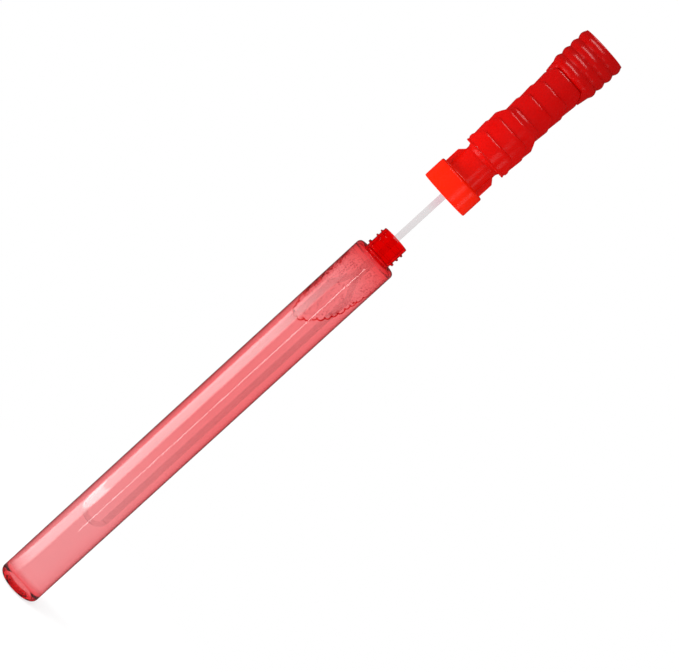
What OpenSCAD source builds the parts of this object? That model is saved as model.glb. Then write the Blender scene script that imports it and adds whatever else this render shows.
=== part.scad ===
// Bubble wand: a tube bottle with a screw neck, and a hilt-shaped cap that carries a long dipping wand.
// The cap is drawn lifted off the neck, with most of the wand still in the tube.
// Millimetres. +Z runs up the tube, and the origin is the middle of the standing ring.

/* [Tube] */
// Outer diameter of the tube
tube_d = 25.2; // [20:0.1:36]
// Height of the tube from its standing ring to the top of its shoulder
tube_h = 256.2; // [180:0.1:320]
// Thickness of the tube's wall and base
tube_wall = 0.9; // [0.6:0.05:1.6]
// Radius of the heel at the base
heel_r = 3.2; // [2:0.1:5]
// Radius of the shoulder
shoulder_r = 3; // [2:0.1:4]
// Width of the flat ring that the tube stands on
ring_w = 2.4; // [1.5:0.1:4]
// Height of the push-up in the middle of the base
pushup_h = 1.8; // [0.8:0.1:3]

/* [Neck] */
// Outer diameter of the neck between its threads
neck_d = 15.6; // [13:0.1:18]
// Thickness of the neck's wall
neck_wall = 1.4; // [1:0.05:2]
// Rounding of the rim's edges
rim_r = 0.4; // [0.2:0.05:0.6]
// Height of the bead's lower face above the shoulder
bead_z = 2.1; // [1:0.1:2.5]
// Thickness of the bead
bead_t = 1.2; // [0.8:0.1:2]
// Reach of the bead beyond the neck
bead_reach = 1.1; // [0.9:0.05:1.4]

/* [Thread] */
// Rise of the thread in one turn
thread_pitch = 3; // [2.5:0.1:4]
// Turns of the neck's thread
thread_turns = 1.8; // [1.2:0.1:2.6]
// Reach of the thread beyond the neck
thread_reach = 0.9; // [0.6:0.05:1.1]
// Plain land between the bead and the thread
thread_land = 1.7; // [1:0.1:3]
// Plain lip between the thread and the rim
lip_h = 1.2; // [0.6:0.1:2]
// Angle at which the thread starts
thread_start = 318; // [0:1:359]
// Turns by which the cap's thread is shorter than the neck's
thread_relief = 0.5; // [0.3:0.1:0.8]

/* [Cap pose] */
// Height that the cap is lifted above its closed position
lift = 44.6; // [0:0.1:240]
// Gap between the shoulder and the closed cap
cap_gap = 1.4; // [0.8:0.1:3]

/* [Handle] */
// Wall thickness of the handle
handle_wall = 1.2; // [0.8:0.05:1.8]
// Rounding of the collar's top edge
collar_round = 0.9; // [0.6:0.1:3]
// Length of the waist above the collar
waist_len = 14.9; // [12:0.1:20]
// Flare at the top of the waist
waist_flare = 0.7; // [0.3:0.1:1.2]
// Fillet at the foot of the waist
waist_fillet = 0.9; // [0.4:0.1:1.5]
// Reach of the side fins beyond the waist
fin_reach = 2.5; // [1:0.1:3]
// Thickness of the side fins
fin_t = 5; // [3:0.1:8]
// Length of the side fins
fin_len = 11.4; // [8:0.1:12]

/* [Grip] */
// Diameter of the lower grip under its plates
grip_d = 25.8; // [23:0.1:30]
// Diameter of the upper grip under its plates
upper_d = 21.8; // [20:0.1:24]
// Step of a plate's upper edge above the grip
plate_step = 0.6; // [0.3:0.05:1]
// Height of the lowest plate
plate_first = 10; // [8:0.1:14]
// Distance from plate to plate
plate_pitch = 9.5; // [8:0.1:12]
// Plates on the lower grip
lower_plates = 3; // [2:1:4]
// Plates on the upper grip
upper_plates = 3; // [2:1:5]
// Half angle of a plate's level front edge
plate_angle = 43; // [30:1:60]
// Drop of a plate's edge from its front to its side
plate_drop = 8.5; // [4:0.1:9]

/* [Pommel] */
// Diameter over the pommel's rings
ring_d = 27.4; // [24:0.1:30]
// Depth of the grooves between the rings
ring_depth = 1.35; // [0.6:0.05:1.8]
// Distance from ring to ring
ring_pitch = 5.5; // [4:0.1:8]
// Number of rings
ring_count = 4; // [2:1:6]
// Bare length between the last plate and the first ring
pommel_gap = 0.95; // [0.5:0.05:3]
// Thickness of the handle's closed end
end_wall = 1.6; // [1:0.1:3]
// Rounding of the end's edge
end_round = 1.1; // [0.5:0.1:1.5]

/* [Thread insert] */
// Thickness of the threaded sleeve
sleeve_wall = 1.2; // [0.8:0.05:2]
// Reach of the flanges beyond the sleeve
flange_w = 2.45; // [1.5:0.05:4]
// Thickness of the flanges
flange_t = 1.5; // [1:0.1:2]
// Thickness of the step over the thread
step_t = 0.8; // [0.6:0.05:1.5]
// Wall of the pocket that holds the seal
pocket_wall = 0.65; // [0.5:0.05:1.2]
// Thickness of the plate over the seal
plug_t = 1.9; // [1.2:0.1:3]
// Depth of the socket for the wand's root
socket_depth = 7.4; // [5:0.1:10]
// Wall of the socket
socket_wall = 1.4; // [1:0.1:2.5]
// Height of the insert's foot inside the collar's edge
foot_recess = 0.2; // [0.1:0.1:1]

/* [Seal] */
// Thickness of the seal washer
seal_t = 1; // [0.6:0.1:2]

/* [Wand] */
// Width of the stem
stem_w = 3.6; // [3:0.1:5]
// Thickness of the stem and of the ribbed rails
stem_t = 2.8; // [2.2:0.1:3.6]
// Length of the stem below the collar
stem_len = 62; // [40:1:90]
// Length of the taper from the stem to the loop
vee_len = 10; // [6:0.5:16]
// Width of the loop's rails
rail_w = 2.4; // [1.6:0.1:3]
// Thickness of the rails between their ribs
rail_core = 1.9; // [1.4:0.1:2.1]
// Distance from rib to rib
rib_pitch = 1.37; // [1.1:0.01:3]
// Width of a rib
rib_w = 0.65; // [0.4:0.05:0.9]
// Gap between the tip and the base of the tube when the cap is closed
tip_gap = 4.7; // [2:0.1:12]

/* [Clearances] */
// Gap around pieces that are pressed together
press_gap = 0.05; // [0.02:0.01:0.1]
// Gap between the seal and the rim when the cap is closed
seat_gap = 0.1; // [0.05:0.01:0.3]
// Gap around the seal and the rim in their pocket
pocket_gap = 0.25; // [0.15:0.05:0.4]
// Gap between the two threads
thread_gap = 0.3; // [0.2:0.05:0.4]
// Gap around the bead in the cap
bead_gap = 0.5; // [0.3:0.05:0.8]
// Gap between the wand and the bore of the neck
bore_gap = 0.3; // [0.2:0.05:0.8]
// Margin of the round root outside the stem's corners
root_margin = 0.35; // [0.2:0.05:0.6]

/* [Hidden] */
$fn = 96;
arc_steps = 8;
thread_steps = 30;
cut = 1;
bury = 0.1;
thread_bury = 0.4;
thread_blunt = 0.4;
thread_lead = 0.1;
edge_r = 0.5;

// Tube and neck
tube_r = tube_d / 2;
neck_r = neck_d / 2;
bore_r = neck_r - neck_wall;
bead_r = neck_r + bead_reach;
crest_r = neck_r + thread_reach;
thread_w = thread_pitch / 2;
neck_h = bead_z + bead_t + thread_land + thread_turns * thread_pitch + thread_w + lip_h;
rim_z = tube_h + neck_h;
pushup_r = tube_r - heel_r - ring_w;
floor_z = pushup_h + tube_wall;
inner_r = tube_r - tube_wall;
inner_heel_r = max(heel_r - tube_wall, edge_r);
inner_shoulder_r = max(shoulder_r - tube_wall, edge_r);

// Heights in the cap are measured from the collar's lower edge
cap_z = tube_h + cap_gap + lift;
rim_h = neck_h - cap_gap;
thread_foot = rim_h - lip_h - thread_w / 2 - thread_turns * thread_pitch;
seal_h = rim_h + seat_gap;
pocket_h = seal_h + seal_t + press_gap;
pocket_r = neck_r + pocket_gap;
plug_r = pocket_r + pocket_wall;
female_r = crest_r + thread_gap;
female_crest_r = neck_r + thread_gap;
entry_r = max(bead_r + bead_gap, female_r);
entry_h = bead_z + bead_t - cap_gap + bead_gap;
bore_top = rim_h - lip_h;
sleeve_r = entry_r + sleeve_wall;
flange_r = sleeve_r + flange_w;
flange_h = bore_top + step_t;
plug_h = pocket_h + plug_t;

// Wand
root_r = sqrt(pow(stem_w / 2, 2) + pow(stem_t / 2, 2)) + root_margin;
socket_r = root_r + press_gap;
socket_h = pocket_h + socket_depth;
insert_h = socket_h + socket_wall;
root_h = seal_h - edge_r;
wand_reach = bore_r - bore_gap;
loop_w = 2 * sqrt(pow(wand_reach, 2) - pow(stem_t / 2, 2));
tip_h = floor_z + tip_gap - tube_h - cap_gap;
tip_r = loop_w / 2;
slot_r = tip_r - rail_w;
rail_foot = tip_h + tip_r;
vee_top = -stem_len;
rail_top = vee_top - vee_len;
rib_count = floor((rail_top - rail_foot - rib_w) / rib_pitch);

// Handle
collar_bore = flange_r + press_gap;
collar_r = collar_bore + handle_wall;
collar_ceiling = flange_h + press_gap;
collar_h = collar_ceiling + handle_wall;
waist_bore = plug_r + press_gap;
waist_r = waist_bore + handle_wall;
grip_h = collar_h + waist_len;
grip_r = grip_d / 2;
upper_r = upper_d / 2;
grip_bore = grip_r - handle_wall;
upper_bore = upper_r - handle_wall;
plate_count = lower_plates + upper_plates;
taper_top = ledge_h(lower_plates - 1) - plate_drop;
taper_len = grip_r - upper_r + 2 * handle_wall;
pommel_h = ledge_h(plate_count - 1) + pommel_gap;
ring_r = ring_d / 2;
groove_r = ring_r - ring_depth;
handle_h = pommel_h + ring_count * ring_pitch + edge_r;

// Height of a plate's level front edge
function ledge_h(i) = grip_h + plate_first + i * plate_pitch;

// Points of an arc about c, from angle a to angle b
function arc(c, r, a, b) = [for (i = [0 : arc_steps]) c + r * [cos(a + (b - a) * i / arc_steps),
    sin(a + (b - a) * i / arc_steps)]];

// Profile of the pommel's round rings, from the first groove to the last
function ring_points() = [for (i = [0 : ring_count * arc_steps]) [groove_r
    + ring_depth * abs(sin(180 * i / arc_steps)), pommel_h + ring_pitch * i / arc_steps]];

// Share of a thread's full height at step i of n: it starts and ends blunt, and rises over its lead
function thread_rise(i, n) = min(1, thread_blunt + min(i, n - i) / (thread_lead * thread_steps));

// Helical ridge that climbs from height z, standing from radius wall to radius crest
module thread_ridge(wall, crest, width, turns, z) {
    side = crest > wall ? 1 : -1;
    n = round(turns * thread_steps);
    foot = wall - side * thread_bury;
    function ring(i, peak) = let (a = thread_start + 360 * i / thread_steps, h = z + thread_pitch * i / thread_steps)
        [for (p = [[foot, -width / 2], [peak, -width / 4], [peak, width / 4], [foot, width / 2]])
            [p[0] * cos(a), p[0] * sin(a), h + p[1]]];
    points = [for (i = [0 : n]) each ring(i, wall + (crest - wall) * thread_rise(i, n))];
    skin = [for (i = [0 : n - 1], k = [0 : 3]) let (a = 4 * i + k, b = 4 * i + (k + 1) % 4)
        each [[a, b, b + 4], [a, b + 4, a + 4]]];
    ends = [[0, 2, 1], [0, 3, 2], [4 * n, 4 * n + 1, 4 * n + 2], [4 * n, 4 * n + 2, 4 * n + 3]];
    faces = concat(skin, ends);
    polyhedron(points, side > 0 ? faces : [for (f = faces) [f[2], f[1], f[0]]]);
}

// Clear tube with a heel, a push-up in its base, a shoulder and a screw neck
module bottle() {
    neck_foot = tube_h + bead_z;
    profile = concat(
        [[0, pushup_h], [pushup_r - pushup_h, pushup_h], [pushup_r, 0]],
        arc([tube_r - heel_r, heel_r], heel_r, -90, 0),
        arc([tube_r - shoulder_r, tube_h - shoulder_r], shoulder_r, 0, 90),
        arc([neck_r + edge_r, tube_h + edge_r], edge_r, 270, 180),
        [[neck_r, neck_foot], [bead_r, neck_foot], [bead_r, neck_foot + bead_t], [neck_r, neck_foot + bead_t]],
        arc([neck_r - rim_r, rim_z - rim_r], rim_r, 0, 90),
        arc([bore_r + rim_r, rim_z - rim_r], rim_r, 90, 180),
        [[bore_r, tube_h - tube_wall]],
        arc([inner_r - inner_shoulder_r, tube_h - tube_wall - inner_shoulder_r], inner_shoulder_r, 90, 0),
        arc([inner_r - inner_heel_r, tube_wall + inner_heel_r], inner_heel_r, 0, -90),
        [[pushup_r + tube_wall / 2, tube_wall], [pushup_r - pushup_h + tube_wall / 2, floor_z], [0, floor_z]]
    );
    color("lightcoral") {
        rotate_extrude() polygon(profile);
        thread_ridge(neck_r, crest_r, thread_w, thread_turns, tube_h + cap_gap + thread_foot);
    }
}

// One arched plate of the grip: level at the front and back, falling away to both sides
module grip_plate(ledge, valley, crest) {
    level = crest * sin(plate_angle);
    reach = crest - level + cut;
    fall = [for (i = [0 : arc_steps]) let (a = 90 * i / arc_steps)
        [level + reach * sin(a), ledge - plate_drop * (1 - cos(a))]];
    foot = ledge - plate_pitch - cut;
    outline = concat(fall, [[level + reach, foot], [-level - reach, foot]],
        [for (i = [arc_steps : -1 : 0]) [-fall[i][0], fall[i][1]]]);
    intersection() {
        translate([0, 0, ledge - plate_pitch]) cylinder(h = plate_pitch, r1 = valley - bury, r2 = crest);
        rotate([90, 0, 0]) linear_extrude(height = 2 * (crest + cut), center = true) polygon(outline);
    }
}

// Side fin of the waist, with a sloping top and a small chamfer at its foot
module side_fin() {
    root = waist_r - handle_wall / 2;
    tip = waist_r + fin_reach;
    top = collar_h + fin_len;
    outline = [[root, collar_h - edge_r], [tip - edge_r, collar_h - edge_r], [tip - edge_r, collar_h + edge_r],
        [tip, collar_h + 2 * edge_r], [tip, top - fin_reach], [waist_r, top], [root, top]];
    rotate([90, 0, 0]) linear_extrude(height = fin_t, center = true) polygon(outline);
}

// Outer body of the handle: collar, waist, plated grip and ringed pommel
module handle_body() {
    profile = concat(
        [[0, 0]],
        arc([collar_r - edge_r, edge_r], edge_r, -90, 0),
        arc([collar_r - collar_round, collar_h - collar_round], collar_round, 0, 90),
        arc([waist_r + waist_fillet, collar_h + waist_fillet], waist_fillet, 270, 180),
        [[waist_r, grip_h - 2 * waist_flare], [waist_r + waist_flare, grip_h]],
        [[grip_r, grip_h], [grip_r, taper_top - taper_len], [upper_r, taper_top], [upper_r, pommel_h]],
        ring_points(),
        arc([groove_r - end_round, handle_h - end_round], end_round, 0, 90),
        [[0, handle_h]]
    );
    rotate_extrude() polygon(profile);
    for (side = [0, 180]) rotate([0, 0, side]) side_fin();
    for (i = [0 : plate_count - 1]) {
        valley = i < lower_plates ? grip_r : upper_r;
        grip_plate(ledge_h(i), valley, valley + plate_step);
    }
}

// Hollow of the handle, open at the collar and closed at the pommel
module handle_hollow() {
    shelf = grip_h + handle_wall;
    profile = [[0, -cut], [collar_bore, -cut], [collar_bore, collar_ceiling], [waist_bore, collar_ceiling],
        [waist_bore, shelf], [grip_bore, shelf + grip_bore - waist_bore],
        [grip_bore, taper_top - taper_len - handle_wall], [upper_bore, taper_top - handle_wall],
        [upper_bore, handle_h - end_wall], [0, handle_h - end_wall]];
    rotate_extrude() polygon(profile);
}

// Hilt-shaped handle, moulded in one piece as a hollow shell
module handle() {
    color("red") translate([0, 0, cap_z]) difference() {
        handle_body();
        handle_hollow();
    }
}

// Screw insert: a threaded sleeve with two flanges in the collar, a seal pocket and a socket for the wand
module thread_insert() {
    boss_r = socket_r + socket_wall;
    profile = [[entry_r, foot_recess], [flange_r, foot_recess], [flange_r, foot_recess + flange_t],
        [sleeve_r, foot_recess + flange_t], [sleeve_r, flange_h - flange_t], [flange_r, flange_h - flange_t],
        [flange_r, flange_h], [plug_r, flange_h], [plug_r, plug_h], [boss_r, plug_h], [boss_r, insert_h],
        [0, insert_h], [0, socket_h], [socket_r, socket_h], [socket_r, pocket_h], [pocket_r, pocket_h],
        [pocket_r, bore_top], [female_r, bore_top], [female_r, entry_h], [entry_r, entry_h]];
    half_turn = thread_pitch / 2;
    color("tomato") translate([0, 0, cap_z]) {
        rotate_extrude() polygon(profile);
        thread_ridge(female_r, female_crest_r, thread_w - thread_gap, thread_turns - thread_relief,
            thread_foot + half_turn);
    }
}

// Soft washer that seals the rim when the cap is closed
module seal_washer() {
    outer_r = pocket_r - seat_gap;
    hole_r = root_r + pocket_gap;
    color("whitesmoke") translate([0, 0, cap_z + seal_h]) difference() {
        cylinder(h = seal_t, r = outer_r);
        translate([0, 0, -cut]) cylinder(h = seal_t + 2 * cut, r = hole_r);
    }
}

// Ribbed rail of the loop, with ribs across its front and its back
module loop_rail() {
    teeth = [for (i = [0 : rib_count]) rail_foot + rib_w + i * rib_pitch];
    front = [for (z = teeth) each [[rail_core / 2, z - rib_w / 2], [stem_t / 2, z - rib_w / 2],
        [stem_t / 2, z + rib_w / 2], [rail_core / 2, z + rib_w / 2]]];
    back = [for (i = [len(front) - 1 : -1 : 0]) [-front[i][0], front[i][1]]];
    ends = [[rail_core / 2, rail_top + edge_r], [-rail_core / 2, rail_top + edge_r]];
    feet = [[-rail_core / 2, rail_foot - edge_r], [rail_core / 2, rail_foot - edge_r]];
    translate([slot_r, 0, 0]) rotate([90, 0, 90]) linear_extrude(height = rail_w)
        polygon(concat(front, ends, back, feet));
}

// Taper that joins the stem to the two rails
module loop_vee() {
    apex = vee_top - vee_len / 2;
    rotate([90, 0, 0]) linear_extrude(height = stem_t, center = true) polygon([[-stem_w / 2, vee_top],
        [-tip_r, rail_top], [-slot_r, rail_top], [0, apex], [slot_r, rail_top], [tip_r, rail_top],
        [stem_w / 2, vee_top]]);
}

// Round end of the loop
module loop_tip() {
    translate([0, 0, rail_foot]) rotate([90, 0, 0]) linear_extrude(height = stem_t, center = true)
        difference() {
            circle(r = tip_r);
            circle(r = slot_r);
            translate([-tip_r - cut, 0]) square([2 * (tip_r + cut), tip_r + cut]);
        }
}

// Dipping wand: round root, flat stem and a long ribbed loop
module wand() {
    stem_foot = vee_top - edge_r;
    color("mistyrose") translate([0, 0, cap_z]) {
        translate([0, 0, root_h]) cylinder(h = socket_h - press_gap - root_h, r = root_r);
        translate([-stem_w / 2, -stem_t / 2, stem_foot]) cube([stem_w, stem_t, seal_h - stem_foot]);
        loop_vee();
        loop_rail();
        mirror([1, 0, 0]) loop_rail();
        loop_tip();
    }
}

bottle();
handle();
thread_insert();
seal_washer();
wand();
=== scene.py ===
import math
import random

import bpy
import numpy as np
from mathutils import Matrix, Vector


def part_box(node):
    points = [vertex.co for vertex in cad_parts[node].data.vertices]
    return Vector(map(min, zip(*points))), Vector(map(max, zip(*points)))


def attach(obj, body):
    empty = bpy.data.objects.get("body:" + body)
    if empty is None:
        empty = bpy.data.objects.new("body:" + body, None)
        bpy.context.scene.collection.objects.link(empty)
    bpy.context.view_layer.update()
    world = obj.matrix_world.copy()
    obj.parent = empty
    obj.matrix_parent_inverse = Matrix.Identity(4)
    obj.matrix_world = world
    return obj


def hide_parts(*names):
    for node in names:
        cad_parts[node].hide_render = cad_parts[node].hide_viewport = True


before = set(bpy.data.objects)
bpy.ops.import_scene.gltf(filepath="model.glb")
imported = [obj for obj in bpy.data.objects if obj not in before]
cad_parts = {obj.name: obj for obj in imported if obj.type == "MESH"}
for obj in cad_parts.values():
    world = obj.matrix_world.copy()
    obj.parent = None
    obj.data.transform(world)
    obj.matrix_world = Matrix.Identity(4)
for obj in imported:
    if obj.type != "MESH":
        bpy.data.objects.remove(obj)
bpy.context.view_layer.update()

# All shape values are in millimetres and are scaled to metres when a mesh is made.
MM = 0.001
SEED = 7
COLUMNS = 216
ARC_STEPS = 8

# Sizes read from the CAD boxes
_, bottle_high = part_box("bottle")
handle_low, handle_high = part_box("handle")
wand_low, wand_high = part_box("wand")
TUBE_R = bottle_high.x / MM
RIM_Z = bottle_high.z / MM
CAP_Z = handle_low.z / MM
COLLAR_R = min(-handle_low.x, handle_high.y) / MM
HANDLE_H = (handle_high.z - handle_low.z) / MM
LOOP_R = wand_high.x / MM
LOOP_END_Z = wand_low.z / MM
ROOT_TOP_Z = wand_high.z / MM

# Tube
WALL = 0.9
WALL_STEP = 6.0
HEEL_R = 3.2
SHOULDER_R = 3.0
NECK_H = 13.1
TUBE_H = RIM_Z - NECK_H
INNER_R = TUBE_R - WALL
PUSHUP_H = 1.8
PUSHUP_R = 7.0
PUSHUP_SHIFT = 0.45
PUSHUP_ROUND = 0.8
FOOT_ROUND = 0.5

# Neck and its thread
NECK_R = 7.8
NECK_BORE = 6.4
NECK_FILLET = 0.7
BORE_ROUND = 0.9
RIM_ROUND = 0.4
BEAD_R = 8.9
BEAD_LOW = 2.1
BEAD_HIGH = 3.3
BEAD_ROUND = 0.35
BEAD_FILLET = 0.15
THREAD_REACH = 0.9
THREAD_PITCH = 3.0
THREAD_TURNS = 1.8
THREAD_START = math.radians(318)
THREAD_FOOT = 5.75
THREAD_HALF = 0.78
THREAD_FADE = 0.06
THREAD_STEP = 0.14
THREAD_END = RIM_Z - 0.5

# Liquid
OVERLAP = 0.05
LIQUID_TOP = TUBE_H - 3.1
LIQUID_STEP = 8.0
MENISCUS_H = 0.4
MENISCUS_R = 1.0

# Lower edge of the foam on the wall, as degrees from the front and depth below the tube's top
FOAM_EDGE = [(-128, 4.2), (-114, 12.0), (-100, 22.0), (-86, 32.5), (-72, 39.5), (-60, 43.5), (-48, 48.5),
             (-36, 50.3), (-24, 50.3), (-11, 48.6), (2, 46.4), (10, 43.6), (21, 41.5), (32, 38.6),
             (42, 33.8), (49, 27.7), (57, 23.6), (66, 18.0), (80, 11.0), (97, 4.2)]
FOAM_RAISE = 0.7
FOAM_WIRE = 0.34
FOAM_INSET = 0.1
SCALLOP_WIDTH = (2.8, 4.6)
SCALLOP_SAG = (0.34, 0.52)
SCALLOP_STEPS = 12
LAST_SCALLOP = 1.5

# Bubbles beside the foam's edge, along the left side and over the whole foam
NEAR_BUBBLES = 9
NEAR_SHARE = (0.4, 0.85)
NEAR_RISE = (-1.2, 1.0)
NEAR_R = (0.3, 0.75)
SIDE_BUBBLES = 150
SIDE_ANGLES = (-106.0, -58.0, -72.0)
SIDE_MARGIN = 1.0
SIDE_TOP = 9.0
SIDE_SPREAD = 1.4
SIDE_R = (0.3, 0.9)
FINE_BUBBLES = 620
FINE_ANGLES = (-80.0, 78.0)
FINE_MARGIN = 2.0
FINE_TOP = 5.5
FINE_SPREAD = 1.3
FINE_R = (0.2, 0.5)

# Handle: collar, waist and bore
COLLAR_H = 12.55
COLLAR_BORE = 13.1
COLLAR_CEILING = 11.35
WAIST_R = 9.95
WAIST_BORE = 8.75
WAIST_STEP = 0.35
HANDLE_STEP = 1.4
HANDLE_ARC_STEPS = 9

# Handle: grip with its overlapping plates
GRIP_H = 27.45
GRIP_WALL = 1.2
LOWER_R = 12.9
UPPER_R = 10.9
BORE_CONE_LOW = GRIP_H + 1.2
BORE_CONE_HIGH = GRIP_H + 4.2
BORE_STEP_LOW = 44.0
BORE_STEP_HIGH = 47.0
FLARE_H = 1.6
FLARE_R = 0.7
GRIP_BEAD = 0.3
GRIP_BEAD_LOW = 0.8
GRIP_BEAD_HIGH = 1.3
PLATE_STEP = 0.6
PLATE_START = 0.6
PLATE_LEVEL = math.sin(math.radians(43))
PLATE_DROP = 5.6
LOWER_PLATES = 3
LEDGES = [37.45 + 9.5 * i for i in range(6)]
EDGE_SOFT = 1.2
EDGE_STEPS = 5
NARROWING_H = 3.6

# Handle: side fins and pommel
FIN_REACH = 2.5
FIN_HALF = 2.5
FIN_LEN = 11.4
FIN_SLOPE = 2.9
FIN_SOFT = 0.35
FIN_FOOT_RISE = 0.03
FIN_COLUMNS = (10.6, 11.0, 11.4, 11.8, 12.4, 12.9, 13.4, 13.8, 14.4, 14.8)
POMMEL_H = 85.9
RING_R = 13.7
GROOVE_R = 12.75
RING_PITCH = 5.5
RING_COUNT = 4
RING_STEPS = 16
END_ROUND = 1.1
END_WALL = 1.6

# Wand
STEM_HALF_W = 1.8
STEM_HALF_T = 1.4
STEM_TOP = CAP_Z + 11.8
STEM_STATIONS = 12
STEM_SINK = 0.55
VEE_TOP = CAP_Z - 62.0
VEE_X = 0.9
VEE_LEAN_X = 0.85
VEE_HALF_W = 0.88
VEE_MIDDLE_W = 1.15
VEE_SINK = 0.6
RAIL_TOP = VEE_TOP - 10.0
RAIL_HALF_W = 1.2
RAIL_CORE = 0.95
RAIL_RIB = 1.4
RAIL_X = LOOP_R - RAIL_HALF_W
RAIL_FOOT = LOOP_END_Z + LOOP_R
RIB_PITCH = 1.37
RIB_START = 0.65
RIB_END = 2.0
RIB_CREST = 0.3
RIB_FOOT = 0.44
BEND_STEPS = 24
ROOT_R = 2.63
ROOT_FOOT = CAP_Z + 11.3
ROOT_COLUMNS = 48

# Strength of the white surroundings as light and in reflections
LIGHT_LEVEL = 1.0
GLOSS_LEVEL = 0.04

# Camera, fitted to the photograph
CAMERA_ELEVATION = math.radians(6.882)
CAMERA_ROLL = math.radians(47.698)
CAMERA_DISTANCE = 1048.07
CAMERA_TARGET = (17.06, 0.0, 214.41)
CAMERA_LENS = 108.547


def smooth(low, high, value):
    """Smooth step from 0 at low to 1 at high."""
    t = np.clip((np.asarray(value, dtype=float) - low) / (high - low), 0.0, 1.0)
    return t * t * (3.0 - 2.0 * t)


def rounded(corners, steps=6):
    """Polyline of (r, z) points through corners (r, z, radius), each corner rounded by an arc."""
    spots = [np.array(c[:2], dtype=float) for c in corners]
    points = [spots[0]]
    for i in range(1, len(corners) - 1):
        radius = corners[i][2]
        before = spots[i - 1] - spots[i]
        after = spots[i + 1] - spots[i]
        len_before = np.linalg.norm(before)
        len_after = np.linalg.norm(after)
        u = before / len_before
        v = after / len_after
        half = 0.5 * math.acos(float(np.clip(np.dot(u, v), -1.0, 1.0)))
        if radius == 0 or half > math.radians(89.5):
            points.append(spots[i])
            continue
        reach = min(radius / math.tan(half), 0.48 * len_before, 0.48 * len_after)
        true_radius = reach * math.tan(half)
        middle = (u + v) / np.linalg.norm(u + v)
        centre = spots[i] + middle * true_radius / math.sin(half)
        start = spots[i] + u * reach - centre
        end = spots[i] + v * reach - centre
        sweep = math.pi - 2.0 * half
        for k in range(steps + 1):
            t = k / steps
            arm = (start * math.sin((1 - t) * sweep) + end * math.sin(t * sweep)) / math.sin(sweep)
            points.append(centre + arm)
    points.append(spots[-1])
    return np.array(points)


def densify(points, step):
    """Adds points on long pieces of a polyline; step(r, z) is the longest piece allowed there."""
    dense = [points[0]]
    for a, b in zip(points[:-1], points[1:]):
        longest = step(*(0.5 * (a + b)))
        count = max(1, int(math.ceil(np.linalg.norm(b - a) / longest)))
        for k in range(1, count + 1):
            dense.append(a + (b - a) * k / count)
    return np.array(dense)


def shell_faces(count, columns, first_index):
    """Faces of a closed surface: a point, count rings of that many columns, and a point."""
    faces = []
    last = first_index + 1 + count * columns
    ring = first_index + 1
    top = last - columns
    for j in range(columns):
        k = (j + 1) % columns
        faces.append((first_index, ring + k, ring + j))
        faces.append((last, top + j, top + k))
    for i in range(count - 1):
        low = ring + i * columns
        high = low + columns
        for j in range(columns):
            k = (j + 1) % columns
            faces.append((low + j, low + k, high + k, high + j))
    return faces


def lathe_grid(profile, columns):
    """Radii, heights and angles of a surface turned from a profile of (r, z) points."""
    angles = np.linspace(0.0, 2 * math.pi, columns, endpoint=False)
    radii = np.repeat(profile[:, :1], columns, axis=1)
    heights = np.repeat(profile[:, 1:], columns, axis=1)
    return radii, heights, angles


class Shape:
    """Points and faces of one piece, gathered from several closed surfaces."""

    def __init__(self):
        self.points = []
        self.faces = []

    def add_rings(self, rings, first, last):
        """Closed surface through rings (rows x columns x 3), drawn to a point at either end."""
        count, columns = rings.shape[:2]
        self.faces.extend(shell_faces(count, columns, len(self.points)))
        self.points.append(tuple(first))
        self.points.extend(map(tuple, rings.reshape(-1, 3)))
        self.points.append(tuple(last))

    def add_loop(self, rings):
        """Ring-shaped surface through rings (rows x columns x 3), the last joined to the first."""
        count, columns = rings.shape[:2]
        first = len(self.points)
        self.points.extend(map(tuple, rings.reshape(-1, 3)))
        for i in range(count):
            low = first + i * columns
            high = first + (i + 1) % count * columns
            for j in range(columns):
                k = (j + 1) % columns
                self.faces.append((low + j, low + k, high + k, high + j))

    def add_lathe(self, radii, heights, angles):
        """Surface of revolution; radii and heights are rows x columns, first and last row on the axis."""
        x = radii * np.cos(angles)[None, :]
        y = radii * np.sin(angles)[None, :]
        rings = np.stack((x, y, heights), axis=2)
        first = (0.0, 0.0, float(heights[0].mean()))
        last = (0.0, 0.0, float(heights[-1].mean()))
        self.add_rings(rings[1:-1], first, last)

    def make(self, name, material, sharp=38.0):
        """Blender object of the shape, smooth except where faces meet at more than sharp degrees."""
        mesh = bpy.data.meshes.new(name)
        mesh.from_pydata((np.array(self.points) * MM).tolist(), [], self.faces)
        mesh.polygons.foreach_set("use_smooth", [True] * len(mesh.polygons))
        mesh.set_sharp_from_angle(angle=math.radians(sharp))
        mesh.update()
        piece = bpy.data.objects.new(name, mesh)
        bpy.context.scene.collection.objects.link(piece)
        piece.data.materials.append(material)
        return piece


def maths(tree, operation, a, b=None):
    """Math node on one or two values, each a number or a socket."""
    node = tree.nodes.new("ShaderNodeMath")
    node.operation = operation
    for socket, value in zip(node.inputs, (a, b)):
        if isinstance(value, float):
            socket.default_value = value
        elif value is not None:
            tree.links.new(value, socket)
    return node.outputs["Value"]


def map_range(tree, value, low, high, to_low, to_high, kind="LINEAR"):
    """Map of a value from one range to another, held at the ends."""
    node = tree.nodes.new("ShaderNodeMapRange")
    node.interpolation_type = kind
    node.inputs["From Min"].default_value = low
    node.inputs["From Max"].default_value = high
    node.inputs["To Min"].default_value = to_low
    node.inputs["To Max"].default_value = to_high
    tree.links.new(value, node.inputs["Value"])
    return node.outputs["Result"]


def mix_shaders(tree, share, first, second):
    """Mix of two shaders; a share of 1 is the second alone."""
    node = tree.nodes.new("ShaderNodeMixShader")
    tree.links.new(share, node.inputs["Fac"])
    tree.links.new(first, node.inputs[1])
    tree.links.new(second, node.inputs[2])
    return node.outputs["Shader"]


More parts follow.
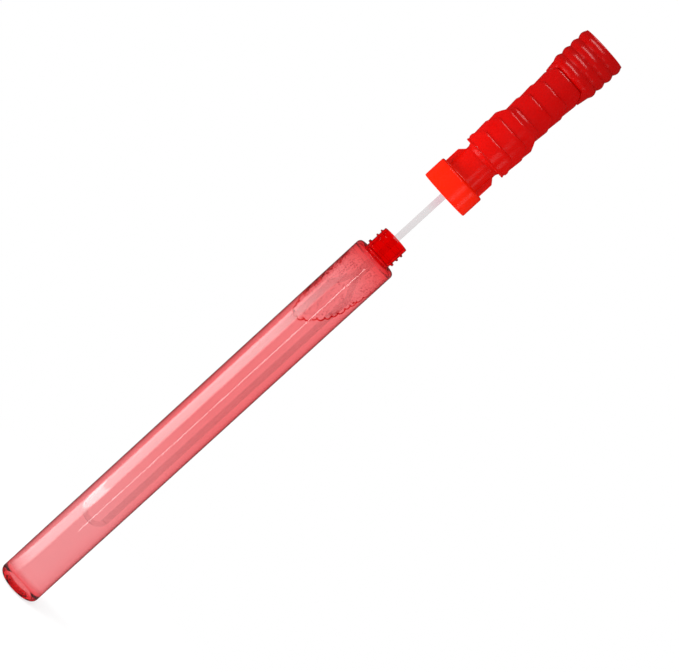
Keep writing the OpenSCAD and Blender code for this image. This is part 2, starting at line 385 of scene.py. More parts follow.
class Paint:
    """A node material with a Principled shader, and short ways to add to it."""

    def __init__(self, name):
        self.material = bpy.data.materials.new(name)
        self.material.use_nodes = True
        self.tree = self.material.node_tree
        self.nodes = self.tree.nodes
        self.links = self.tree.links
        self.shader = self.nodes["Principled BSDF"]
        self.output = self.nodes["Material Output"]
        self.place = self.nodes.new("ShaderNodeTexCoord").outputs["Object"]

    def set(self, **values):
        """Sets sockets of the shader by name, with underscores for spaces."""
        for key, value in values.items():
            self.shader.inputs[key.replace("_", " ")].default_value = value

    def noise(self, scale, detail=3.0, stretch=(1.0, 1.0, 1.0)):
        """Noise from 0 to 1 in the piece's own coordinates; scale is in cells per metre."""
        mapping = self.nodes.new("ShaderNodeMapping")
        mapping.inputs["Scale"].default_value = stretch
        self.links.new(self.place, mapping.inputs["Vector"])
        node = self.nodes.new("ShaderNodeTexNoise")
        node.inputs["Scale"].default_value = scale
        node.inputs["Detail"].default_value = detail
        self.links.new(mapping.outputs["Vector"], node.inputs["Vector"])
        return node.outputs["Fac"]

    def height(self):
        """Height of the point in metres, in the piece's own coordinates."""
        split = self.nodes.new("ShaderNodeSeparateXYZ")
        self.links.new(self.place, split.inputs["Vector"])
        return split.outputs["Z"]

    def span(self, value, low, high, to_low=0.0, to_high=1.0):
        """Linear map of a value, held at the ends."""
        return map_range(self.tree, value, low, high, to_low, to_high)

    def ramp(self, value, stops):
        """Colour ramp through stops (position, colour)."""
        node = self.nodes.new("ShaderNodeValToRGB")
        elements = node.color_ramp.elements
        while len(elements) < len(stops):
            elements.new(0.5)
        for element, (position, colour) in zip(elements, stops):
            element.position = position
            element.color = (*colour, 1.0)
        self.links.new(value, node.inputs["Fac"])
        return node.outputs["Color"]

    def tint(self, colour, value, low, high):
        """Colour made darker or lighter by a value from 0 to 1."""
        node = self.nodes.new("ShaderNodeMix")
        node.data_type = "RGBA"
        node.blend_type = "MULTIPLY"
        node.inputs["Factor"].default_value = 1.0
        shade = self.ramp(value, [(0.25, (low, low, low)), (0.75, (high, high, high))])
        self.links.new(colour, node.inputs["A"])
        self.links.new(shade, node.inputs["B"])
        return node.outputs["Result"]

    def times(self, a, b):
        """Product of two values."""
        return maths(self.tree, "MULTIPLY", a, b)

    def bump(self, value, strength, distance):
        """Fine unevenness of the surface."""
        node = self.nodes.new("ShaderNodeBump")
        node.inputs["Strength"].default_value = strength
        node.inputs["Distance"].default_value = distance
        self.links.new(value, node.inputs["Height"])
        self.links.new(node.outputs["Normal"], self.shader.inputs["Normal"])

    def join(self, value, socket):
        """Links a value to a socket of the shader."""
        self.links.new(value, self.shader.inputs[socket])


def clear_red_plastic():
    """Clear red blown plastic: palest low down, dense at the heel and the neck, darker where seen aslant."""
    paint = Paint("clear_red_plastic")
    paint.set(Transmission_Weight=1.0, IOR=1.08, Coat_IOR=1.5, Coat_Roughness=0.045)
    red = (0.88, 0.006, 0.008)
    low = (1.0, 0.684, 0.688)
    high = (1.0, 0.56, 0.565)
    shoulder = 0.945
    neck = 0.956
    level = paint.span(paint.height(), 0.0, RIM_Z * MM)
    stops = [(0.0, (0.97, 0.02, 0.025)), (0.006, (0.97, 0.22, 0.24)), (0.02, low), (0.2, low),
             (0.5, high), (0.88, high), (0.925, (0.98, 0.44, 0.44)), (shoulder, (0.93, 0.24, 0.25)),
             (neck, red), (1.0, red)]
    colour = paint.tint(paint.ramp(level, stops), paint.noise(60.0, 2.0), 0.97, 1.0)
    slant = paint.nodes.new("ShaderNodeLayerWeight").outputs["Facing"]
    slant = paint.times(slant, paint.span(level, 0.012, 0.045, 0.42, 0.96))
    paint.join(paint.tint(colour, paint.span(slant, 0.44, 0.8, 0.75, 0.25), 0.3, 1.0), "Base Color")
    paint.join(paint.span(paint.noise(180.0), 0.3, 0.7, 0.005, 0.03), "Roughness")
    paint.join(paint.span(level, shoulder, neck, 1.0, 0.25), "Coat Weight")
    volume = paint.nodes.new("ShaderNodeVolumeAbsorption")
    volume.inputs["Color"].default_value = (0.93, 0.04, 0.11, 1.0)
    volume.inputs["Density"].default_value = 230.0
    paint.links.new(volume.outputs["Volume"], paint.output.inputs["Volume"])
    return paint.material


def red_plastic():
    """Glossy opaque red with painted light and shade: lighter and a little more orange at the collar, shaded
    deeper up to the pommel.
    """
    paint = Paint("red_plastic")
    paint.set(IOR=1.46, Specular_IOR_Level=0.11)
    level = paint.span(paint.height(), CAP_Z * MM, (CAP_Z + HANDLE_H) * MM)
    # Painted light and shade by height: the collar is lit lighter and more orange, and the colour is shaded
    # down to about half as bright at the pommel.
    stops = [(0.0, (0.8, 0.012, 0.0005)), (0.1, (0.74, 0.01, 0.0004)), (0.135, (0.58, 0.003, 0.0004)),
             (0.3, (0.54, 0.0015, 0.0004)), (0.5, (0.465, 0.0008, 0.0004)), (1.0, (0.4, 0.0006, 0.0004))]
    colour = paint.ramp(level, stops)
    paint.join(paint.tint(colour, paint.noise(70.0, 4.0), 0.95, 1.0), "Base Color")
    paint.join(paint.span(paint.noise(140.0), 0.3, 0.7, 0.2, 0.25), "Roughness")
    return paint.material


def insert_plastic():
    """Satin red of the screw insert inside the collar."""
    paint = Paint("insert_plastic")
    paint.set(IOR=1.46, Specular_IOR_Level=0.3)
    colour = paint.ramp(paint.noise(90.0, 4.0), [(0.3, (0.72, 0.012, 0.004)), (0.7, (0.8, 0.022, 0.008))])
    paint.join(colour, "Base Color")
    paint.join(paint.span(paint.noise(160.0), 0.3, 0.7, 0.34, 0.46), "Roughness")
    paint.bump(paint.noise(700.0, 2.0), 0.1, 0.0003)
    return paint.material


def seal_foam():
    """Off-white closed-cell foam of the washer."""
    paint = Paint("seal_foam")
    paint.set(Roughness=0.85, Specular_IOR_Level=0.25)
    colour = paint.ramp(paint.noise(900.0, 2.0), [(0.3, (0.72, 0.7, 0.67)), (0.7, (0.84, 0.82, 0.79))])
    paint.join(colour, "Base Color")
    paint.bump(paint.noise(2600.0, 2.0), 0.35, 0.0002)
    return paint.material


def wand_plastic():
    """Pale translucent plastic, clearer along the loop, with a painted pink reflection of the red collar at
    the top of the stem.
    """
    paint = Paint("wand_plastic")
    paint.set(IOR=1.08, Transmission_Weight=0.95)
    level = paint.span(paint.height(), RAIL_TOP * MM, (CAP_Z + 2.0) * MM)
    clear = (0.93, 0.912, 0.912)
    milky = (0.77, 0.735, 0.74)
    # The last two stops paint a pink reflection of the red collar onto the top of the stem.
    stops = [(0.0, clear), (0.5, clear), (0.56, milky), (0.82, milky),
             (0.93, (0.79, 0.6, 0.64)), (1.0, (0.77, 0.66, 0.68))]
    colour = paint.ramp(level, stops)
    paint.join(paint.tint(colour, paint.noise(80.0, 3.0, (1.0, 1.0, 0.3)), 0.95, 1.0), "Base Color")
    paint.join(paint.span(paint.noise(200.0), 0.3, 0.7, 0.1, 0.2), "Roughness")
    return paint.material


def soap_liquid():
    """Clear soap water with the faintest pink."""
    paint = Paint("soap_liquid")
    paint.set(Transmission_Weight=1.0, IOR=1.33)
    colour = paint.ramp(paint.noise(40.0, 2.0), [(0.3, (0.98, 0.96, 0.965)), (0.7, (0.995, 0.985, 0.99))])
    paint.join(colour, "Base Color")
    paint.join(paint.span(paint.noise(120.0), 0.3, 0.7, 0.0, 0.012), "Roughness")
    return paint.material


def foam_film():
    """Thick soap film where foam bubbles meet the wall, dark red through the plastic."""
    paint = Paint("foam_film")
    paint.set(Transmission_Weight=1.0, IOR=1.03)
    colour = paint.ramp(paint.noise(300.0, 2.0), [(0.3, (0.7, 0.002, 0.004)), (0.7, (0.9, 0.008, 0.012))])
    paint.join(colour, "Base Color")
    paint.join(paint.span(paint.noise(500.0), 0.3, 0.7, 0.02, 0.08), "Roughness")
    return paint.material


def foam_bubble():
    """Fine foam, only a little darker than the liquid."""
    paint = Paint("foam_bubble")
    paint.set(Transmission_Weight=1.0, IOR=1.06)
    colour = paint.ramp(paint.noise(260.0, 2.0), [(0.4, (0.74, 0.42, 0.47)), (0.6, (1.0, 0.98, 0.985))])
    paint.join(colour, "Base Color")
    paint.join(paint.span(paint.noise(500.0), 0.3, 0.7, 0.02, 0.08), "Roughness")
    return paint.material


def thread_bulge(angles, height):
    """Radial reach of the neck's thread at each angle, for a height above the tube's top."""
    total = np.zeros_like(angles)
    for turn in range(3):
        along = (angles - THREAD_START) % (2 * math.pi) / (2 * math.pi) + turn
        centre = THREAD_FOOT + along * THREAD_PITCH
        side = 1.0 - smooth(0.25, 1.0, np.abs(height - centre) / THREAD_HALF)
        last = smooth(THREAD_TURNS - THREAD_FADE, THREAD_TURNS, along)
        ends = smooth(0.0, THREAD_FADE, along) * (1.0 - last)
        total = np.maximum(total, side * ends)
    return THREAD_REACH * total


def build_bottle(material):
    """The blown tube with its threaded neck, as one closed shell."""
    top = TUBE_H
    corners = [
        (0.0, PUSHUP_H, 0), (PUSHUP_R - PUSHUP_H, PUSHUP_H, PUSHUP_ROUND), (PUSHUP_R, 0.0, FOOT_ROUND),
        (TUBE_R, 0.0, HEEL_R), (TUBE_R, top, SHOULDER_R), (NECK_R, top, NECK_FILLET),
        (NECK_R, top + BEAD_LOW, BEAD_FILLET), (BEAD_R, top + BEAD_LOW, BEAD_ROUND),
        (BEAD_R, top + BEAD_HIGH, BEAD_ROUND), (NECK_R, top + BEAD_HIGH, BEAD_FILLET),
        (NECK_R, RIM_Z, RIM_ROUND), (NECK_BORE, RIM_Z, RIM_ROUND), (NECK_BORE, top - WALL, BORE_ROUND),
        (INNER_R, top - WALL, SHOULDER_R - WALL), (INNER_R, WALL, HEEL_R - WALL),
        (PUSHUP_R + PUSHUP_SHIFT, WALL, FOOT_ROUND),
        (PUSHUP_R - PUSHUP_H + PUSHUP_SHIFT, PUSHUP_H + WALL, PUSHUP_ROUND), (0.0, PUSHUP_H + WALL, 0),
    ]

    def on_thread(r, z):
        return abs(r - NECK_R) < 0.05 and z > top + BEAD_HIGH

    def step(r, z):
        return THREAD_STEP if on_thread(r, z) else WALL_STEP

    profile = densify(rounded(corners, ARC_STEPS), step)
    radii, heights, angles = lathe_grid(profile, COLUMNS)
    for i, (r, z) in enumerate(profile):
        if on_thread(r, z) and z < THREAD_END:
            radii[i] += thread_bulge(angles, z - top)
    shape = Shape()
    shape.add_lathe(radii, heights, angles)
    piece = shape.make("tube_shell", material)
    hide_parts("bottle")
    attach(piece, "bottle")
    return piece


def build_liquid(material):
    """Soap water that fills the tube almost to its shoulder and reaches a little into the wall."""
    out = INNER_R + OVERLAP
    surface = LIQUID_TOP - MENISCUS_H
    corners = [
        (0.0, PUSHUP_H + WALL - OVERLAP, 0),
        (PUSHUP_R - PUSHUP_H + PUSHUP_SHIFT, PUSHUP_H + WALL - OVERLAP, PUSHUP_ROUND),
        (PUSHUP_R + PUSHUP_SHIFT, WALL - OVERLAP, FOOT_ROUND), (out, WALL - OVERLAP, HEEL_R - WALL),
        (out, LIQUID_TOP, 0), (INNER_R - MENISCUS_R, surface, MENISCUS_R), (0.0, surface, 0),
    ]
    profile = densify(rounded(corners, ARC_STEPS), lambda r, z: LIQUID_STEP)
    shape = Shape()
    shape.add_lathe(*lathe_grid(profile, COLUMNS))
    piece = shape.make("bubble_liquid", material)
    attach(piece, "bottle")
    return piece


def on_wall(across, z, depth):
    """Point on the inner wall: across is measured round the wall from the front, depth inwards from it."""
    turn = across / INNER_R - 0.5 * math.pi
    r = INNER_R - depth
    return np.array((r * math.cos(turn), r * math.sin(turn), z))


def add_wire(shape, points, radius, closed=False):
    """A thin round thread along points on the inner wall."""
    points = np.array(points)
    sides = np.radians(np.arange(0.0, 360.0, 60.0))
    rings = []
    for i, point in enumerate(points):
        before = points[i - 1] if closed or i > 0 else point
        after = points[(i + 1) % len(points)] if closed or i + 1 < len(points) else point
        along = after - before
        along = along / np.linalg.norm(along)
        out = np.array((point[0], point[1], 0.0))
        out = out / np.linalg.norm(out)
        side = np.cross(along, out)
        side = side / np.linalg.norm(side)
        rings.append([point + radius * (math.cos(a) * out + math.sin(a) * side) for a in sides])
    if closed:
        shape.add_loop(np.array(rings))
    else:
        shape.add_rings(np.array(rings), points[0], points[-1])


def add_ring(shape, across, z, radius):
    """Outline of one small bubble on the wall."""
    turns = np.radians(np.arange(0.0, 360.0, 30.0))
    points = [on_wall(across + radius * math.cos(t), z + radius * math.sin(t), FOAM_INSET) for t in turns]
    add_wire(shape, points, 0.5 * FOAM_WIRE, True)


def add_ball(shape, centre, radius):
    """A small round bubble."""
    columns = 10
    lift = np.radians(np.linspace(-90.0, 90.0, 8))
    turn = np.linspace(0.0, 2 * math.pi, columns, endpoint=False)
    rings = []
    for angle in lift[1:-1]:
        wide = radius * math.cos(angle)
        x = centre[0] + wide * np.cos(turn)
        y = centre[1] + wide * np.sin(turn)
        z = np.full(columns, centre[2] + radius * math.sin(angle))
        rings.append(np.stack((x, y, z), axis=1))
    up = np.array((0.0, 0.0, radius))
    shape.add_rings(np.array(rings), centre - up, centre + up)


def add_scallop(shape, start, end, rng):
    """One bulging arc of the foam's edge, between two points (across, z)."""
    chord = end - start
    down = np.array((chord[1], -chord[0])) / np.linalg.norm(chord)
    sag = np.linalg.norm(chord) * rng.uniform(*SCALLOP_SAG)
    points = []
    for k in range(SCALLOP_STEPS + 1):
        t = k / SCALLOP_STEPS
        bulge = sag * math.sqrt(max(0.0, 1.0 - (2 * t - 1) ** 2))
        across, z = start + chord * t + down * bulge
        points.append(on_wall(across, z, FOAM_INSET))
    add_wire(shape, points, FOAM_WIRE)


def foam_edge_point(way, spots):
    """Point (across, z) at a length along the foam's lower edge."""
    lengths = np.concatenate(([0.0], np.cumsum(np.linalg.norm(np.diff(spots, axis=0), axis=1))))
    return np.array((np.interp(way, lengths, spots[:, 0]), np.interp(way, lengths, spots[:, 1])))


def foam_depth(angle):
    """Depth of the foam's lower edge below the tube's top, at an angle in degrees from the front."""
    angles, depths = zip(*FOAM_EDGE)
    return float(np.interp(angle, angles, depths))


def build_foam_edge(material, rng):
    """Scalloped lower edge of the foam on the wall, with the small bubbles beside it and on the left."""
    shape = Shape()
    spots = np.array([(math.radians(a) * INNER_R, TUBE_H - depth + FOAM_RAISE) for a, depth in FOAM_EDGE])
    total = float(np.sum(np.linalg.norm(np.diff(spots, axis=0), axis=1)))
    way = 0.0
    while way < total - LAST_SCALLOP:
        wide = rng.uniform(*SCALLOP_WIDTH)
        add_scallop(shape, foam_edge_point(way, spots), foam_edge_point(way + wide, spots), rng)
        way += wide
    for _ in range(NEAR_BUBBLES):
        across, z = foam_edge_point(rng.uniform(*NEAR_SHARE) * total, spots)
        add_ring(shape, across, z + rng.uniform(*NEAR_RISE), rng.uniform(*NEAR_R))
    for _ in range(SIDE_BUBBLES):
        angle = rng.triangular(*SIDE_ANGLES)
        lowest = foam_depth(angle) - SIDE_MARGIN
        depth = lowest - (lowest - SIDE_TOP) * rng.random() ** SIDE_SPREAD
        add_ring(shape, math.radians(angle) * INNER_R, TUBE_H - depth, rng.uniform(*SIDE_R))
    piece = shape.make("foam_edge", material, sharp=80.0)
    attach(piece, "bottle")
    return piece


def build_fine_foam(material, rng):
    """Fine bubbles over the wall above the scalloped edge, none of them in another."""
    shape = Shape()
    balls = []
    while len(balls) < FINE_BUBBLES:
        angle = rng.uniform(*FINE_ANGLES)
        lowest = foam_depth(angle) - FINE_MARGIN
        z = TUBE_H - FINE_TOP - (lowest - FINE_TOP) * rng.random() ** FINE_SPREAD
        radius = rng.uniform(*FINE_R)
        centre = on_wall(math.radians(angle) * INNER_R, z, radius)
        if all(np.linalg.norm(centre - other) > radius + size for other, size in balls):
            balls.append((centre, radius))
            add_ball(shape, centre, radius)
    piece = shape.make("fine_foam", material, sharp=80.0)
    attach(piece, "bottle")
    return piece


def ring_outline():
    """Round rings of the pommel, as (r, h) points from its foot up."""
    points = []
    for i in range(RING_COUNT * RING_STEPS + 1):
        t = i / RING_STEPS
        swell = abs(math.sin(math.pi * t))
        points.append((GROOVE_R + (RING_R - GROOVE_R) * swell, POMMEL_H + RING_PITCH * t))
    return points


def plate_corners():
    """Corners (r, h, radius) of the grip's plates, each with a soft upper edge over the next."""
    corners = []
    for i, ledge in enumerate(LEDGES):
        valley = LOWER_R if i < LOWER_PLATES else UPPER_R
        after = LOWER_R if i + 1 < LOWER_PLATES else UPPER_R
        crest = valley + PLATE_STEP
        if valley > after:
            corners.append((crest - 0.1, ledge - NARROWING_H, 2.0))
            crest = after + PLATE_STEP + 0.2
        for k in range(EDGE_STEPS + 1):
            turn = math.radians(90.0 / EDGE_STEPS * k)
            corners.append((crest - 0.9 * PLATE_STEP * (1 - math.cos(turn)),
                            ledge - EDGE_SOFT * (1 - math.sin(turn)), 0))
        corners.append((after, ledge + 0.05, 0))
    return corners


def handle_outline():
    """Rows (r, h) from the inside top down to the collar's edge and up the outside to the top."""
    inside = [
        (0.0, HANDLE_H - END_WALL, 0), (UPPER_R - GRIP_WALL, HANDLE_H - END_WALL, 0.6),
        (UPPER_R - GRIP_WALL, BORE_STEP_HIGH, 1.0), (LOWER_R - GRIP_WALL, BORE_STEP_LOW, 1.0),
        (LOWER_R - GRIP_WALL, BORE_CONE_HIGH, 0.5), (WAIST_BORE, BORE_CONE_LOW, 0.5),
        (WAIST_BORE, COLLAR_CEILING, 0.3), (COLLAR_BORE, COLLAR_CEILING, 0), (COLLAR_BORE, 0.0, 0.25),
    ]
    body = [
        (COLLAR_R, 0.0, 0.5), (COLLAR_R, COLLAR_H, 0.9), (WAIST_R, COLLAR_H, 0.8),
        (WAIST_R, GRIP_H - FLARE_H, 1.0), (WAIST_R + FLARE_R, GRIP_H, 0.3),
        (LOWER_R + GRIP_BEAD, GRIP_H, 0.3), (LOWER_R + GRIP_BEAD, GRIP_H + GRIP_BEAD_LOW, 0.3),
        (LOWER_R, GRIP_H + GRIP_BEAD_HIGH, 0.3),
    ]
    points = rounded(inside + body + plate_corners() + [(UPPER_R, POMMEL_H, 0)], HANDLE_ARC_STEPS)
    ring = ring_outline()
    cap = rounded([ring[-1] + (0,), (GROOVE_R, HANDLE_H, END_ROUND), (0.0, HANDLE_H, 0)])
    outline = np.vstack((points[:-1], np.array(ring), cap[1:]))

    def step(r, h):
        on_waist = r > WAIST_BORE and COLLAR_H < h < COLLAR_H + FIN_LEN + 1.0
        return WAIST_STEP if on_waist else HANDLE_STEP

    return densify(outline, step)


def plate_drop(angles):
    """Fall of the plates' upper edges towards the sides; level across the front and the back."""
    side = np.clip((np.abs(np.cos(angles)) - PLATE_LEVEL) / (1.0 - PLATE_LEVEL), 0.0, 1.0)
    return PLATE_DROP * (1.0 - np.cos(0.5 * math.pi * side))


def fin_radius(angles, h):
    """Outer radius of the two side fins at a height, with softened edges; small away from them."""
    rise = min(FIN_REACH, FIN_REACH * (COLLAR_H + FIN_LEN - h) / FIN_SLOPE)
    face = (WAIST_R + max(rise, 0.0)) / np.maximum(np.abs(np.cos(angles)), 0.2)
    flank = FIN_HALF / np.maximum(np.abs(np.sin(angles)), 0.01)
    blend = np.clip(0.5 + 0.5 * (flank - face) / FIN_SOFT, 0.0, 1.0)
    return flank * (1.0 - blend) + face * blend - FIN_SOFT * blend * (1.0 - blend)


def handle_angles():
    """Columns round the handle, closer together along the fins' edges."""
    degrees = list(np.arange(0.0, 360.0, 2.0))
    for middle in (0.0, 180.0):
        for edge in FIN_COLUMNS:
            degrees.append((middle + edge) % 360.0)
            degrees.append((middle - edge) % 360.0)
    return np.radians(np.array(sorted(set(round(d, 3) for d in degrees))))


def build_handle(material):
    """Hilt-shaped cap: collar, waist with fins, plated grip and ringed pommel, as a hollow shell."""
    outline = handle_outline()
    angles = handle_angles()
    drop = plate_drop(angles)
    outer_from = int(np.argmin(np.abs(outline[:, 0] - COLLAR_R) + np.abs(outline[:, 1] - 0.5)))
    radii = []
    heights = []
    for i, (r, h) in enumerate(outline):
        row_r = np.full_like(angles, r)
        row_h = np.full_like(angles, h)
        if i > outer_from and COLLAR_H - 0.2 < h < COLLAR_H + FIN_LEN + 0.5:
            row_r = np.maximum(row_r, fin_radius(angles, h))
            row_h = row_h + FIN_FOOT_RISE * (row_r - r)
        if i > outer_from and GRIP_H < h < POMMEL_H - 0.01 and r < RING_R:
            share = float(smooth(GRIP_H + PLATE_START, LEDGES[0] - EDGE_SOFT, h))
            row_h = row_h - share * drop
        radii.append(row_r)
        heights.append(row_h + CAP_Z)
    shape = Shape()
    shape.add_lathe(np.array(radii), np.array(heights), angles)
    piece = shape.make("hilt_cap", material)
    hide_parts("handle")
    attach(piece, "cap")
    return piece


def bar_section(half_w, half_t, count=16, square=0.32):
    """Points (across, through) of a rounded bar."""
    turn = np.linspace(0.0, 2 * math.pi, count, endpoint=False) + math.pi / count
    across = np.sign(np.cos(turn)) * np.abs(np.cos(turn)) ** square
    through = np.sign(np.sin(turn)) * np.abs(np.sin(turn)) ** square
    return half_w * across, half_t * through


def add_bar(shape, stations):
    """A bar swept through stations (x, z, direction x, direction z, half width, half thickness)."""
    rings = []
    for x, z, dx, dz, half_w, half_t in stations:
        across, through = bar_section(half_w, half_t)
        length = math.hypot(dx, dz)
        side_x = dz / length
        side_z = -dx / length
        rings.append(np.stack((x + across * side_x, through, z + across * side_z), axis=1))
    rings = np.array(rings)
    shape.add_rings(rings, rings[0].mean(axis=0), rings[-1].mean(axis=0))


def loop_stations():
    """Stations of the loop, from the stem down one ribbed rail, round the end and up the other rail."""
    lean_x = RAIL_X - VEE_LEAN_X
    lean_z = RAIL_TOP - VEE_TOP
    middle_x = 0.5 * (RAIL_X + VEE_LEAN_X)
    middle_z = 0.5 * (VEE_TOP + RAIL_TOP)
    down = [(VEE_X, VEE_TOP + VEE_SINK, 0.0, -1.0, VEE_HALF_W, RAIL_RIB),
            (middle_x, middle_z, lean_x, lean_z, VEE_MIDDLE_W, RAIL_RIB),
            (RAIL_X - 0.25, RAIL_TOP + 0.8, lean_x, lean_z, RAIL_HALF_W, RAIL_RIB),
            (RAIL_X, RAIL_TOP - 0.4, 0.0, -1.0, RAIL_HALF_W, RAIL_RIB)]
    rib = ((RIB_FOOT, RAIL_CORE), (RIB_CREST, RAIL_RIB), (-RIB_CREST, RAIL_RIB), (-RIB_FOOT, RAIL_CORE))
    count = int((RAIL_TOP - RAIL_FOOT - RIB_END) / RIB_PITCH)
    for i in range(count, -1, -1):
        z = RAIL_FOOT + RIB_START + i * RIB_PITCH
        for offset, half_t in rib:
            down.append((RAIL_X, z + offset, 0.0, -1.0, RAIL_HALF_W, half_t))
    down.append((RAIL_X, RAIL_FOOT, 0.0, -1.0, RAIL_HALF_W, RAIL_RIB))
    bend = []
    for k in range(1, BEND_STEPS):
        turn = math.pi * k / BEND_STEPS
        bend.append((RAIL_X * math.cos(turn), RAIL_FOOT - RAIL_X * math.sin(turn),
                     -math.sin(turn), -math.cos(turn), RAIL_HALF_W, RAIL_RIB))
    up = [(-x, z, dx, -dz, half_w, half_t) for x, z, dx, dz, half_w, half_t in reversed(down)]
    return down + bend + up


def build_wand(material):
    """Dipping wand: round root, flat stem and the long ribbed loop."""
    shape = Shape()
    add_bar(shape, loop_stations())
    levels = np.linspace(VEE_TOP + STEM_SINK, STEM_TOP, STEM_STATIONS)
    add_bar(shape, [(0.0, z, 0.0, 1.0, STEM_HALF_W, STEM_HALF_T) for z in levels])
    root = rounded([(0.0, ROOT_FOOT, 0), (ROOT_R, ROOT_FOOT, 0.3), (ROOT_R, ROOT_TOP_Z, 0.4),
                    (0.0, ROOT_TOP_Z, 0)], steps=5)
    shape.add_lathe(*lathe_grid(root, ROOT_COLUMNS))
    piece = shape.make("dipping_wand", material, sharp=50.0)
    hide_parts("wand")
    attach(piece, "cap")
    return piece


def finish_cad_node(name, material):
    """Gives a CAD node that is shown as it is its material."""
    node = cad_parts[name]
    node.data.materials.clear()
    node.data.materials.append(material)


def white_for_views(tree):
    """Two values: 1 for camera and transmission rays, and 1 for reflected rays alone."""
    path = tree.nodes.new("ShaderNodeLightPath")
    seen = maths(tree, "MAXIMUM", path.outputs["Is Camera Ray"], path.outputs["Is Transmission Ray"])
    mirrored = maths(tree, "MAXIMUM", maths(tree, "SUBTRACT", path.outputs["Is Glossy Ray"], seen), 0.0)
    return seen, mirrored


def build_world():
    """White surroundings, as a background and as light, that are dim in reflections."""
    world = bpy.data.worlds.new("studio")
    bpy.context.scene.world = world
    world.use_nodes = True
    tree = world.node_tree
    background = tree.nodes["Background"]
    background.inputs["Color"].default_value = (1.0, 1.0, 1.0, 1.0)
    _, mirrored = white_for_views(tree)
    strength = map_range(tree, mirrored, 0.0, 1.0, LIGHT_LEVEL, GLOSS_LEVEL)
    tree.links.new(strength, background.inputs["Strength"])


def build_floor():
    """Wide white floor; its shadow shows near the toy, but not farther out or through the tube."""
    half = 8.0
    drop = -0.0003
    shadow_near = 0.03
    shadow_far = 0.22
    shadow_white = 0.65
    mesh = bpy.data.meshes.new("floor")
    mesh.from_pydata([(-half, -half, drop), (half, -half, drop), (half, half, drop), (-half, half, drop)],
                     [], [(0, 1, 2, 3)])
    floor = bpy.data.objects.new("floor", mesh)
    bpy.context.scene.collection.objects.link(floor)
    material = bpy.data.materials.new("floor_white")
    material.use_nodes = True
    tree = material.node_tree
    nodes = tree.nodes
    nodes.remove(nodes["Principled BSDF"])
    far = nodes.new("ShaderNodeVectorMath")
    far.operation = "LENGTH"
    tree.links.new(nodes.new("ShaderNodeTexCoord").outputs["Object"], far.inputs[0])
    fade = map_range(tree, far.outputs["Value"], shadow_near, shadow_far, shadow_white, 1.0, "SMOOTHSTEP")
    through = nodes.new("ShaderNodeLightPath").outputs["Is Transmission Ray"]
    seen, mirrored = white_for_views(tree)
    white = maths(tree, "MULTIPLY", maths(tree, "MAXIMUM", fade, through), seen)
    diffuse = nodes.new("ShaderNodeBsdfDiffuse")
    diffuse.inputs["Color"].default_value = (0.92, 0.92, 0.92, 1.0)
    glow = nodes.new("ShaderNodeEmission")
    dim = nodes.new("ShaderNodeEmission")
    dim.inputs["Strength"].default_value = GLOSS_LEVEL
    plain = mix_shaders(tree, white, diffuse.outputs["BSDF"], glow.outputs["Emission"])
    surface = mix_shaders(tree, mirrored, plain, dim.outputs["Emission"])
    tree.links.new(surface, nodes["Material Output"].inputs["Surface"])
    floor.data.materials.append(material)


def grade_lamp(lamp, turn, height, near):
    """Softens a lamp's edges by angle, height and distance from the axis.

    turn is (middle, full, last) in degrees from the front; height and near are (full, last) in metres.
    """
    lamp.use_nodes = True
    tree = lamp.node_tree
    split = tree.nodes.new("ShaderNodeSeparateXYZ")
    tree.links.new(tree.nodes.new("ShaderNodeNewGeometry").outputs["Position"], split.inputs["Vector"])
    x = split.outputs["X"]
    y = split.outputs["Y"]
    middle, full, last = (math.radians(a) for a in turn)
    angle = maths(tree, "ARCTAN2", x, maths(tree, "MULTIPLY", y, -1.0))
    aside = maths(tree, "ABSOLUTE", maths(tree, "SUBTRACT", angle, middle))
    squares = maths(tree, "ADD", maths(tree, "POWER", x, 2.0), maths(tree, "POWER", y, 2.0))
    distance = maths(tree, "SQRT", squares)
    strength = map_range(tree, aside, full, last, 1.0, 0.0, "SMOOTHSTEP")
    for value, (whole, none) in ((split.outputs["Z"], height), (distance, near)):
        share = map_range(tree, value, whole, none, 1.0, 0.0, "SMOOTHSTEP")
        strength = maths(tree, "MULTIPLY", strength, share)
    tree.links.new(strength, tree.nodes["Emission"].inputs["Strength"])


def add_lamp(name, place, target, width, height, power, grade=None):
    """Rectangular soft lamp at place (metres) that faces target, its height upright."""
    lamp = bpy.data.lights.new(name, "AREA")
    lamp.shape = "RECTANGLE"
    lamp.size = width
    lamp.size_y = height
    lamp.energy = power
    if grade:
        grade_lamp(lamp, *grade)
    holder = bpy.data.objects.new(name, lamp)
    bpy.context.scene.collection.objects.link(holder)
    holder.location = place
    toward = Vector(target) - Vector(place)
    holder.rotation_euler = toward.to_track_quat("-Z", "Y").to_euler()
    holder.visible_camera = False
    holder.visible_transmission = False
    return holder


def round_place(azimuth, distance, z):
    """Point at an angle from the front, to the right if positive, at a distance from the axis."""
    turn = math.radians(azimuth)
    return (distance * math.sin(turn), -distance * math.cos(turn), z)


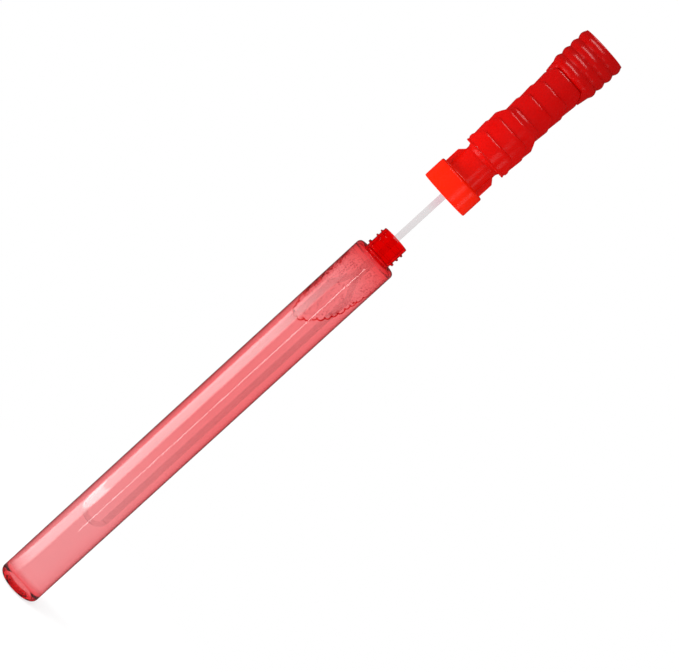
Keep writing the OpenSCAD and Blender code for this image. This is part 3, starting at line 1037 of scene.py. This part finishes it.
def build_lights(hilt):
    """Soft key from the upper left, a panel and a card on the left, and a thin strip in front.

    A glow for the edges of the grip's plates and two strips on the right light the hilt alone.
    """
    left = -64.0
    soft = ((left, 18.0, 34.0), (0.15, 0.236), (0.06, 0.012))
    panel_z = 0.12
    strip_z = 0.123
    hilt_z = 0.305
    add_lamp("key", (-0.55, -0.9, 1.2), (0.0, 0.0, 0.3), 1.8, 0.16, 4.5)
    glow = add_lamp("ledge_glow", (-0.55, -0.9, 0.95), (0.0, 0.0, 0.33), 1.8, 0.4, 38.0)
    glow.visible_diffuse = False
    add_lamp("left_panel", round_place(left, 0.2, panel_z), (0.0, 0.0, panel_z), 0.27, 0.23, 1.3, soft)
    add_lamp("left_card", round_place(left, 0.105, 0.013), (0.0, 0.0, 1.0), 0.24, 0.19, 0.8, soft)
    strip = add_lamp("right_strip", round_place(31.5, 0.15, hilt_z), (0.0, 0.0, hilt_z), 0.05, 0.03, 0.018)
    edge = add_lamp("right_edge", round_place(74.6, 0.15, hilt_z), (0.0, 0.0, hilt_z), 0.042, 0.03, 0.014)
    add_lamp("front_strip", round_place(6.0, 0.15, strip_z), (0.0, 0.0, strip_z), 0.009, 0.228, 0.05)
    lit = bpy.data.collections.new("hilt_only")
    lit.objects.link(hilt)
    for lamp in (glow, strip, edge):
        lamp.light_linking.receiver_collection = lit


def place_camera():
    """Camera of the photograph."""
    sin_e = math.sin(CAMERA_ELEVATION)
    cos_e = math.cos(CAMERA_ELEVATION)
    sin_r = math.sin(CAMERA_ROLL)
    cos_r = math.cos(CAMERA_ROLL)
    forward = Vector((0.0, cos_e, -sin_e))
    level_up = Vector((0.0, sin_e, cos_e))
    level_right = Vector((1.0, 0.0, 0.0))
    right = cos_r * level_right + sin_r * level_up
    up = cos_r * level_up - sin_r * level_right
    place = (Vector(CAMERA_TARGET) - CAMERA_DISTANCE * forward) * MM
    data = bpy.data.cameras.new("photo_camera")
    data.sensor_width = 36.0
    data.lens = CAMERA_LENS
    data.clip_start = 0.01
    data.clip_end = 50.0
    camera = bpy.data.objects.new("photo_camera", data)
    bpy.context.scene.collection.objects.link(camera)
    basis = Matrix((right, up, -forward)).transposed().to_4x4()
    camera.matrix_world = Matrix.Translation(place) @ basis
    bpy.context.scene.camera = camera


rng = random.Random(SEED)
build_bottle(clear_red_plastic())
build_liquid(soap_liquid())
build_foam_edge(foam_film(), rng)
build_fine_foam(foam_bubble(), rng)
hilt = build_handle(red_plastic())
build_wand(wand_plastic())
finish_cad_node("thread_insert", insert_plastic())
finish_cad_node("seal_washer", seal_foam())
build_world()
build_floor()
build_lights(hilt)
place_camera()
bpy.context.scene.view_settings.view_transform = "Standard"
